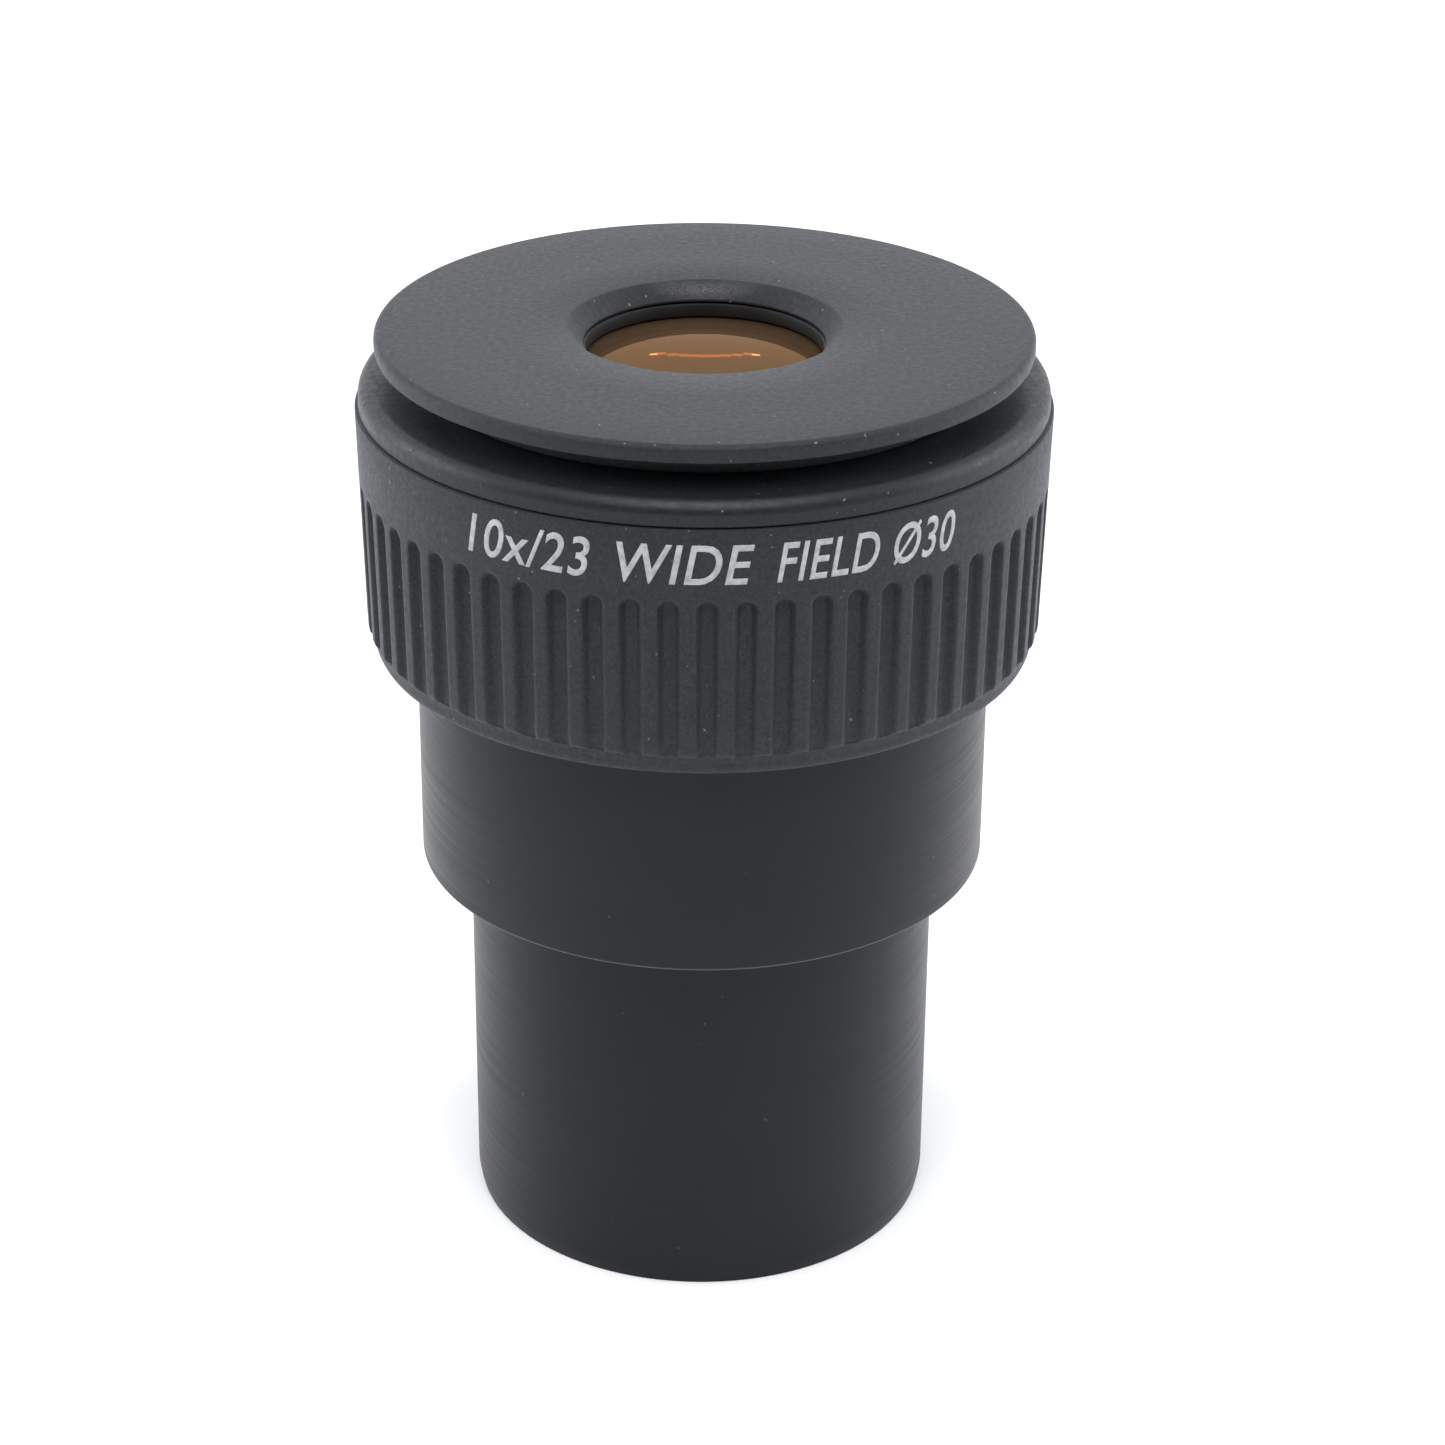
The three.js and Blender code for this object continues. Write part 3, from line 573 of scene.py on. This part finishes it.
def make_grip_ring():
    """The fluted ring that the fingers turn. One flute is shaped and then repeated round the ring."""
    z0, z1 = grip_z0, grip_z1
    lip_r = grip_r - 0.74
    land_foot = z0 + 1.32
    groove_top = z0 + 11.15
    end_centre = groove_top - 0.5

    def land_r(z):
        return grip_r - 0.33 * (z1 - z) / (z1 - land_foot)

    end_rows = [end_centre + 0.11 * i for i in range(9)]
    side = [(lip_r - 0.26, z0), (lip_r - 0.12, z0 + 0.10), (lip_r - 0.02, z0 + 0.32), (lip_r, z0 + 0.55),
            (lip_r + 0.02, z0 + 1.08), (lip_r + 0.10, z0 + 1.20), (land_r(z0 + 1.34) - 0.13, z0 + 1.30),
            (land_r(z0 + 1.5) - 0.045, z0 + 1.42), (land_r(z0 + 1.7), z0 + 1.66)]
    side += [(land_r(z), z) for z in (z0 + 4.5, z0 + 7.5, *end_rows, z1 - 2.4, z1 - 0.14)]
    side += [(grip_r - 0.04, z1 - 0.05), (grip_r - 0.14, z1)]
    bore = grip_r - 2.09
    back = [(bore, z1), (bore, z0 + 1.9), (sleeve_r + 0.28, z0 + 1.9), (sleeve_r + 0.28, z0)]
    piece = draw_outline("grip_ring_fluted", side + back, azimuth=180.0 + GROOVE_PHASE - GROOVE_PITCH / 2)
    bpy.ops.mesh.spin(steps=SECTION_STEPS, angle=math.tau / GROOVES, center=(0, 0, 0), axis=(0, 0, 1))
    bpy.ops.mesh.remove_doubles(threshold=0.002 * MM)
    sink_groove(piece, z0 + 1.25, end_centre, lip_r)
    bpy.ops.mesh.select_all(action="SELECT")
    bpy.ops.mesh.spin(steps=GROOVES, dupli=True, angle=math.tau, center=(0, 0, 0), axis=(0, 0, 1))
    close_up()
    bpy.ops.object.mode_set(mode="OBJECT")
    keep_in_mesh(piece)
    smooth(piece, 40)
    return piece


def sink_groove(piece, low_z, end_centre, lip_r):
    """Pushes the middle of one section in towards the axis, column by column, with a rounded upper end."""
    work = bmesh.from_edit_mesh(piece.data)
    rows = {}
    for v in work.verts:
        r = math.hypot(v.co.x + piece.location.x, v.co.y + piece.location.y) / MM
        z = (v.co.z + piece.location.z) / MM
        if r < lip_r + 0.06 or z < low_z or z > end_centre + 1.0:
            continue
        azimuth = math.degrees(math.atan2(v.co.x + piece.location.x, -(v.co.y + piece.location.y)))
        off = abs((azimuth - GROOVE_PHASE + GROOVE_PITCH / 2) % GROOVE_PITCH - GROOVE_PITCH / 2)
        across = math.radians(off) * grip_r
        share = groove_share(math.hypot(across, max(0.0, z - end_centre)))
        if share > 0.002:
            factor = (r - share * (r - GROOVE_FLOOR_R)) / r
            rows.setdefault(round(factor, 6), []).append(v.index)
    for factor, members in rows.items():
        work = bmesh.from_edit_mesh(piece.data)
        work.verts.ensure_lookup_table()
        for v in work.verts:
            v.select = False
        for index in members:
            work.verts[index].select = True
        work.select_flush_mode()
        bmesh.update_edit_mesh(piece.data)
        bpy.ops.transform.resize(value=(factor, factor, 1), center_override=(0, 0, 0))


def make_ring_cap():
    """The plain collar with a rounded shoulder that closes the top of the grip ring."""
    lip_outer = grip_r - 2.29
    lip_inner = lip_outer - 1.4
    lip_z = foot("ring_cap")
    hole = slider_r + 0.3
    round_r = 0.95
    outline = [
        (hole, cap_z0), (lip_inner, cap_z0), (lip_inner, lip_z), (lip_outer, lip_z),
        (lip_outer, cap_z0), (cap_r - 0.10, cap_z0), (cap_r, cap_z0 + 0.10), (cap_r - 0.01, cap_z1 - round_r)]
    outline += arc(cap_r - round_r - 0.01, cap_z1 - round_r, round_r, round_r, 8, 90, 9)
    outline += [(hole + 0.3, cap_z1), (hole, cap_z1 - 0.3)]
    piece = turned("ring_cap_collar", outline, sides=192, edge=0)
    smooth(piece, 35)
    return piece


# ---------------------------------------------------------------- engraving
CAPITAL = 0.73              # height of a capital letter at a text size of 1


def engrave(name, words, azimuth_from, azimuth_to, foot_z, ring):
    """One group of slanted letters laid round the plain band of the grip ring."""
    band_r = grip_r - 0.05
    deselect()
    bpy.ops.object.text_add(location=(0, 0, 0))
    text = bpy.context.object
    text.name = name
    text.data.body = words
    text.data.size = 1.0
    text.data.shear = 0.22
    text.data.space_character = 1.06
    text.data.offset = 0.010
    text.data.resolution_u = 5
    bpy.ops.object.convert(target="MESH")
    piece = bpy.context.object
    left = min(v.co.x for v in piece.data.vertices)
    right = max(v.co.x for v in piece.data.vertices)
    width = math.radians(azimuth_to - azimuth_from) * band_r
    stretch = width / (right - left)
    piece.scale = (stretch * MM, LETTER_HEIGHT / CAPITAL * MM, 1.0)
    keep_in_mesh(piece)
    middle = math.radians((azimuth_from + azimuth_to) / 2) * band_r
    piece.location = ((middle - (left + right) / 2 * stretch) * MM, 0, 0)
    keep_in_mesh(piece)
    piece.rotation_euler = (math.pi / 2, 0, 0)
    piece.location = (0, 0, foot_z * MM)
    keep_in_mesh(piece)
    bpy.ops.object.mode_set(mode="EDIT")
    bpy.ops.mesh.select_all(action="SELECT")
    bpy.ops.mesh.remove_doubles(threshold=0.001 * MM)
    bpy.ops.mesh.subdivide(number_cuts=2)
    bpy.ops.object.mode_set(mode="OBJECT")
    bend = piece.modifiers.new("wrap", "SIMPLE_DEFORM")
    bend.deform_method = "BEND"
    bend.deform_axis = "Z"
    bend.angle = width / band_r
    bpy.ops.object.modifier_apply(modifier=bend.name)
    piece.location = (0, -band_r * MM, 0)
    keep_in_mesh(piece)
    lay = piece.modifiers.new("lay", "SHRINKWRAP")
    lay.target = ring
    lay.wrap_method = "NEAREST_SURFACEPOINT"
    lay.wrap_mode = "ABOVE_SURFACE"
    lay.offset = 0.006 * MM
    bpy.ops.object.modifier_apply(modifier=lay.name)
    thick = piece.modifiers.new("thick", "SOLIDIFY")
    thick.thickness = 0.016 * MM
    thick.offset = -1.0
    bpy.ops.object.modifier_apply(modifier=thick.name)
    return piece


# ---------------------------------------------------------------- eyecup
def make_eyecup_pad():
    """The flat pad that the eye socket rests near, with a funnel round its hole."""
    flare_r = eye_hole_r + 1.1
    flare_z = pad_z0 + 0.12
    edge_r = 0.42
    outline = [(eye_hole_r, pad_z0), (pad_r - 0.22, pad_z0),
               (pad_r - 0.05, pad_z0 + 0.08), (pad_r, pad_z0 + 0.26)]
    outline += arc(pad_r - edge_r, pad_z1 - edge_r, edge_r, edge_r, 0, 90, 8)
    outline += [(pad_r - 4, pad_z1), (pad_r - 8, pad_z1), (flare_r, pad_z1), (flare_r - 0.07, pad_z1 - 0.018),
                (flare_r - 0.13, pad_z1 - 0.055), (flare_r - 0.2, pad_z1 - 0.11),
                (eye_hole_r + 0.02, flare_z + 0.02), (eye_hole_r, flare_z - 0.02)]
    piece = turned("eyecup_pad_moulded", outline, sides=256, edge=0)
    smooth(piece, 40)
    return piece


def make_eyecup_slider():
    """The tube the eyecup slides on, with a bead at its foot and the neck under the pad."""
    z0, z1 = foot("eyecup_slider"), top("eyecup_slider")
    bead_r = slider_r + 0.6
    bore = slider_r - SLIDER_WALL
    neck_z = cap_z1 + 0.15
    outline = [(bore, z0), (bead_r, z0), (bead_r, z0 + 1.0), (slider_r, z0 + 1.0), (slider_r, neck_z),
               (neck_r, neck_z), (neck_r, z1), (bore, z1)]
    return turned("eyecup_sliding_tube", outline, sides=160, edge=0.08)


# ---------------------------------------------------------------- making and fitting every piece
grip = make_grip_ring()
finish_piece(make_insertion_tube(), satin_black, "tube_assembly", ["insertion_tube"])
finish_piece(make_body_sleeve(), satin_black, "tube_assembly", ["body_sleeve"])
finish_piece(make_field_stop(), stop_black, "tube_assembly", ["field_stop"])
finish_piece(make_slotted_ring("field_stop_retaining_ring", "field_stop_retainer", bore_r - 1.1),
             stop_black, "tube_assembly", ["field_stop_retainer"])

finish_piece(make_lens_barrel(), inner_black, "eye_barrel", ["lens_barrel"])
finish_piece(make_slotted_ring("field_lens_retaining_ring", "field_lens_retainer", lens_r - 1.9),
             stop_black, "eye_barrel", ["field_lens_retainer"])
finish_piece(make_eye_retainer(), stop_black, "eye_barrel", ["eye_lens_retainer"])

field_z0 = foot("field_lens_lower")
joint_vertex = foot("field_lens_upper") - FIT
field_top = top("field_lens_upper")
middle_low, middle_high = foot("middle_lens"), top("middle_lens")
eye_z0, eye_joint, eye_top = foot("eye_lens_lower"), foot("eye_lens_upper") - FIT, top("eye_lens_upper")
lens_pieces = [
    ("field_lens_lower", [(0, field_z0), (lens_r, field_z0)],
     bend_points(joint_vertex, 45, lens_r, 12), inner_glass),
    ("field_lens_upper", bend_points(joint_vertex, 45, lens_r, 12, FIT),
     bend_points(field_top, -81.5, lens_r, 12), inner_glass),
    ("middle_lens", bend_points(middle_low, 70.8, lens_r, 12),
     bend_points(middle_high, -117, lens_r, 12), inner_glass),
    ("eye_lens_lower", [(0, eye_z0), (eye_r, eye_z0)],
     bend_points(eye_joint, 18, eye_r, 12), inner_glass),
    ("eye_lens_upper", bend_points(eye_joint, 18, eye_r, 12, FIT),
     bend_points(eye_top, EYE_LENS_BEND, eye_r, 16), eye_glass),
]
for node, low_face, high_face, glass in lens_pieces:
    lens = lens_piece(node + "_glass", low_face, high_face)
    finish_piece(lens, glass, "eye_barrel", [node])

finish_piece(grip, grip_black, "focus_ring", ["grip_ring"])
finish_piece(make_ring_cap(), cap_black, "focus_ring", ["ring_cap"])
letters_z = grip_z1 - 3.3
for name, words, start, end in (
    ("engraving_power", "10x/23", -39.5, -17.5),
    ("engraving_wide", "WIDE", -13.3, 7.8),
    ("engraving_field", "FIELD Ø30", 11.3, 42.8),
):
    finish_piece(engrave(name, words, start, end, letters_z, grip), engraving_fill, "focus_ring")

finish_piece(make_eyecup_pad(), cup_black, "eyecup", ["eyecup_pad"])
finish_piece(make_eyecup_slider(), neck_black, "eyecup", ["eyecup_slider"])

for node, finish in (
    ("guide_screw", screw_steel), ("lens_spacer", inner_black), ("eyecup_stop_ring", ring_brass),
    ("eyecup_friction_ring", ring_rubber), ("helicoid_nut", ring_brass), ("thrust_washer", slip_plastic),
    ("thrust_retaining_ring", ring_brass),
):
    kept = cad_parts[node]
    kept.data.materials.clear()
    kept.data.materials.append(finish)


# ---------------------------------------------------------------- floor, light and camera
def make_floor():
    """A wide sheet of plain pale paper."""
    deselect()
    bpy.ops.mesh.primitive_plane_add(size=6, location=(0, 0, 0))
    floor = bpy.context.object
    floor.name = "floor"
    paper, tree, shader = new_finish("floor_paper")
    cloud = ramp(tree, noise(tree, 3, 2.0), 0.3, 0.7)
    tree.links.new(mixed(tree, cloud, (0.90, 0.90, 0.90), (0.92, 0.92, 0.92)), shader.inputs["Base Color"])
    shader.inputs["Roughness"].default_value = 0.9
    shader.inputs["Specular IOR Level"].default_value = 0.1
    floor.data.materials.append(paper)


def soft_light(name, place, aim, size, power, size_y=None):
    """A rectangular lamp at a place in metres, turned to face a point."""
    light = bpy.data.lights.new(name, "AREA")
    light.shape = "RECTANGLE"
    light.size = size
    light.size_y = size_y or size
    light.energy = power
    lamp = bpy.data.objects.new(name, light)
    bpy.context.collection.objects.link(lamp)
    lamp.location = place
    lamp.rotation_euler = (Vector(aim) - Vector(place)).to_track_quat("-Z", "Y").to_euler()
    return lamp


def make_world():
    """A pale room, brightest behind the eyepiece and dim low down in front of it."""
    world = bpy.data.worlds.new("studio")
    bpy.context.scene.world = world
    world.use_nodes = True
    tree = world.node_tree
    back = tree.nodes["Background"]
    place = tree.nodes.new("ShaderNodeTexCoord")
    parts = tree.nodes.new("ShaderNodeSeparateXYZ")
    tree.links.new(place.outputs["Generated"], parts.inputs["Vector"])
    beside = ramp(tree, parts.outputs["Y"], -0.88, -0.05, 0.0, 1.0)
    above = ramp(tree, parts.outputs["Z"], 0.50, 0.80, 0.0, 1.0)
    lit = tree.nodes.new("ShaderNodeMath")
    lit.operation = "MAXIMUM"
    tree.links.new(beside, lit.inputs[0])
    tree.links.new(above, lit.inputs[1])
    room = mixed(tree, lit.outputs[0], (0.05, 0.053, 0.060), (0.96, 0.98, 1.0))
    seen = tree.nodes.new("ShaderNodeLightPath").outputs["Is Camera Ray"]
    tree.links.new(mixed(tree, seen, room, (1.0, 1.0, 1.0)), back.inputs["Color"])
    tree.links.new(ramp(tree, parts.outputs["Y"], 0.1, 0.7, 0.9, 1.35), back.inputs["Strength"])


make_floor()
make_world()
middle = Vector((0, 0, 0.033))
eye_lens_place = (0, 0, 0.0587)
soft_light("overhead", (0.0, -0.33, 0.74), middle, 0.6, 5.0)
soft_light("left_panel", (-0.75, 0.12, 0.30), middle, 0.55, 3.0)
soft_light("right_panel", (0.75, 0.12, 0.30), middle, 0.55, 3.0)
for step in range(-4, 5):
    height = 0.350 + 0.036 * (1 - (step / 4) ** 2)
    lamp = soft_light("back_strip", (step * 0.0142, 0.65, height), eye_lens_place, 0.0143, 0.0028, 0.018)
    lamp.data.color = (1.0, 0.36, 0.12)
for side in (-1, 1):
    end = soft_light("strip_end", (side * 0.066, 0.65, 0.349), eye_lens_place, 0.010, 0.0045)
    end.data.color = (1.0, 0.60, 0.30)

camera_data = bpy.data.cameras.new("camera")
camera_data.lens = 90.70
camera_data.sensor_width = 36.0
camera_data.shift_x = 0.0139
camera_data.clip_start = 0.01
camera = bpy.data.objects.new("camera", camera_data)
bpy.context.collection.objects.link(camera)
rise = math.radians(25.92)
reach = 0.23406
camera.location = (0, -reach * math.cos(rise), middle.z + reach * math.sin(rise))
look = (middle - camera.location).to_track_quat("-Z", "Y")
camera.rotation_mode = "QUATERNION"
camera.rotation_quaternion = look @ Quaternion((0, 0, 1), math.radians(0.35))
bpy.context.scene.camera = camera
bpy.context.scene.view_settings.view_transform = "Standard"

deselect()
